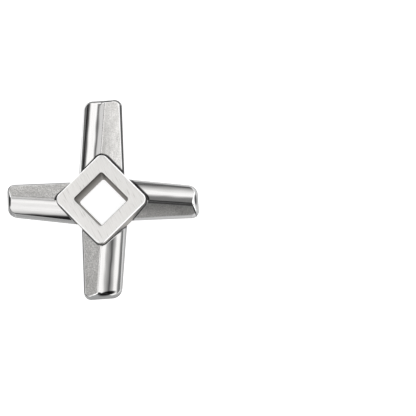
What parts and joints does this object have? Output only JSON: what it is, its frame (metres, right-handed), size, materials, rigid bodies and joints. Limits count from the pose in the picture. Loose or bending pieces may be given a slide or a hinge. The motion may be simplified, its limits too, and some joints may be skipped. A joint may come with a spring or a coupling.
{
  "type": "meat grinder knife",
  "caption": "Cross-shaped cutting knife for a meat grinder: arms with a polished and a cast face round a square hub with a square drive hole, flat ground underside.",
  "frame": {"origin": "on the axis of the square drive hole, at the flat ground face that runs against the hole plate", "axes": "+Z along the drive hole towards the raised back of the hub; +X and +Y along two of the arms, so the hub's flats stand at 45 degrees to them"},
  "size_m": [0.0635, 0.0668, 0.009],
  "materials": {
    "steel": "cast stainless steel, polished on the rounded faces and ground flat on the hub's back and on the underside"
  },
  "bodies": {
    "root": {"knife": "steel"}
  },
  "joints": []
}
